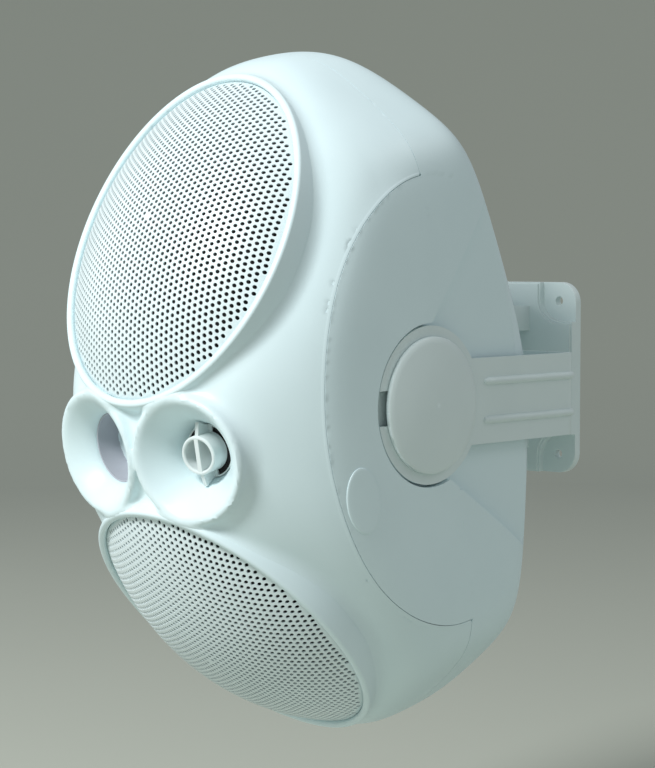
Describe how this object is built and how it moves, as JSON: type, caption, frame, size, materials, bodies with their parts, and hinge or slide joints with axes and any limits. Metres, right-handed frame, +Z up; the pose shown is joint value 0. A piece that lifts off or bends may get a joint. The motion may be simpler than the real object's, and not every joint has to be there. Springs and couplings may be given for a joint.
{
  "type": "wall loudspeaker",
  "caption": "Pillow-shaped wall loudspeaker with two domed grilles, a horn and a bass port at its waist, and a U-shaped yoke that tilts and pans on a wall plate.",
  "frame": {"origin": "centre of the wall plate's back face, on the wall", "axes": "+Y into the wall, +Z up, the loudspeaker looks along -Y, +X to the right of someone who faces it"},
  "size_m": [0.1924, 0.3089, 0.3685],
  "materials": {
    "cabinet_plastic": "fine satin white moulding",
    "bracket_plastic": "fine satin white moulding",
    "grille_steel": "white powder coat on perforated steel",
    "basket_metal": "black powder coat",
    "ferrite": "dull sintered magnet",
    "steel": "zinc plated",
    "black_steel": "black oxide",
    "copper": "lacquered winding wire",
    "contact_metal": "plated contact",
    "cone_plastic": "dark matt diaphragm",
    "rubber": "matt rubber",
    "cloth": "impregnated cloth",
    "plug_plastic": "satin white moulding",
    "black_plastic": "satin black moulding",
    "red_plastic": "gloss red moulding",
    "board": "lacquered board",
    "capacitor_film": "wrapped film"
  },
  "bodies": {
    "wall_bracket": {"wall_plate": "bracket_plastic", "pan_pin": "steel", "pan_nut": "steel"},
    "yoke": {"yoke": "bracket_plastic", "clamp_washers": "steel", "pivot_covers": "bracket_plastic"},
    "cabinet": {"front_baffle": "cabinet_plastic", "rear_shell": "cabinet_plastic", "side_disc": "cabinet_plastic", "upper_grille": "grille_steel", "lower_grille": "grille_steel", "friction_washers": "rubber", "pivot_bushes": "steel", "clamp_screws": "steel", "upper_basket": "basket_metal", "lower_basket": "basket_metal", "upper_top_plate": "steel", "lower_top_plate": "steel", "upper_magnet": "ferrite", "lower_magnet": "ferrite", "upper_pole_piece": "steel", "lower_pole_piece": "steel", "upper_surround": "rubber", "lower_surround": "rubber", "upper_spider": "cloth", "lower_spider": "cloth", "woofer_gaskets": "rubber", "woofer_screws": "black_steel", "port_tube": "cabinet_plastic", "phase_plug": "plug_plastic", "tweeter_body": "black_plastic", "tweeter_screws": "black_steel", "terminal_cup": "black_plastic", "terminal_contacts": "contact_metal", "crossover_board": "board", "crossover_coils": "copper", "crossover_capacitors": "capacitor_film", "board_screws": "steel", "shell_screws": "black_steel", "terminal_screws": "black_steel"},
    "upper_cone_set": {"upper_voice_coil": "copper", "upper_cone": "cone_plastic", "upper_dust_cap": "cone_plastic"},
    "lower_cone_set": {"lower_voice_coil": "copper", "lower_cone": "cone_plastic", "lower_dust_cap": "cone_plastic"},
    "dome_set": {"tweeter_dome": "cloth"},
    "red_tab": {"red_terminal_tab": "red_plastic"},
    "black_tab": {"black_terminal_tab": "black_plastic"}
  },
  "joints": [
    {"name": "pan", "type": "hinge", "parent": "wall_bracket", "child": "yoke", "pos_m": [0, -0.022, 0], "axis": [0, 0, 1], "range_deg": [-25, 25]},
    {"name": "tilt", "type": "hinge", "parent": "yoke", "child": "cabinet", "pos_m": [0, -0.1792, -0.005], "axis": [1, 0, 0], "range_deg": [-46.6, 25.4]},
    {"name": "upper_cone_travel", "type": "slide", "parent": "cabinet", "child": "upper_cone_set", "axis": [0, -0.9107, 0.4131], "range_m": [-0.0025, 0.0025], "stiffness_N_per_m": 900, "deforming": ["upper_surround", "upper_spider"]},
    {"name": "lower_cone_travel", "type": "slide", "parent": "cabinet", "child": "lower_cone_set", "axis": [0, -0.6997, -0.7145], "range_m": [-0.0025, 0.0025], "stiffness_N_per_m": 900, "deforming": ["lower_surround", "lower_spider"]},
    {"name": "dome_travel", "type": "slide", "parent": "cabinet", "child": "dome_set", "axis": [0.1685, -0.9689, -0.1813], "range_m": [-0.0003, 0.0003], "stiffness_N_per_m": 120},
    {"name": "red_tab_press", "type": "hinge", "parent": "cabinet", "child": "red_tab", "pos_m": [0.009, -0.08451, -0.04917], "axis": [1, 0, 0], "range_deg": [0, 22], "stiffness_Nm_per_rad": 0.02, "springref_deg": -11.46},
    {"name": "black_tab_press", "type": "hinge", "parent": "cabinet", "child": "black_tab", "pos_m": [-0.009, -0.08451, -0.04917], "axis": [1, 0, 0], "range_deg": [0, 22], "stiffness_Nm_per_rad": 0.02, "springref_deg": -11.46}
  ]
}
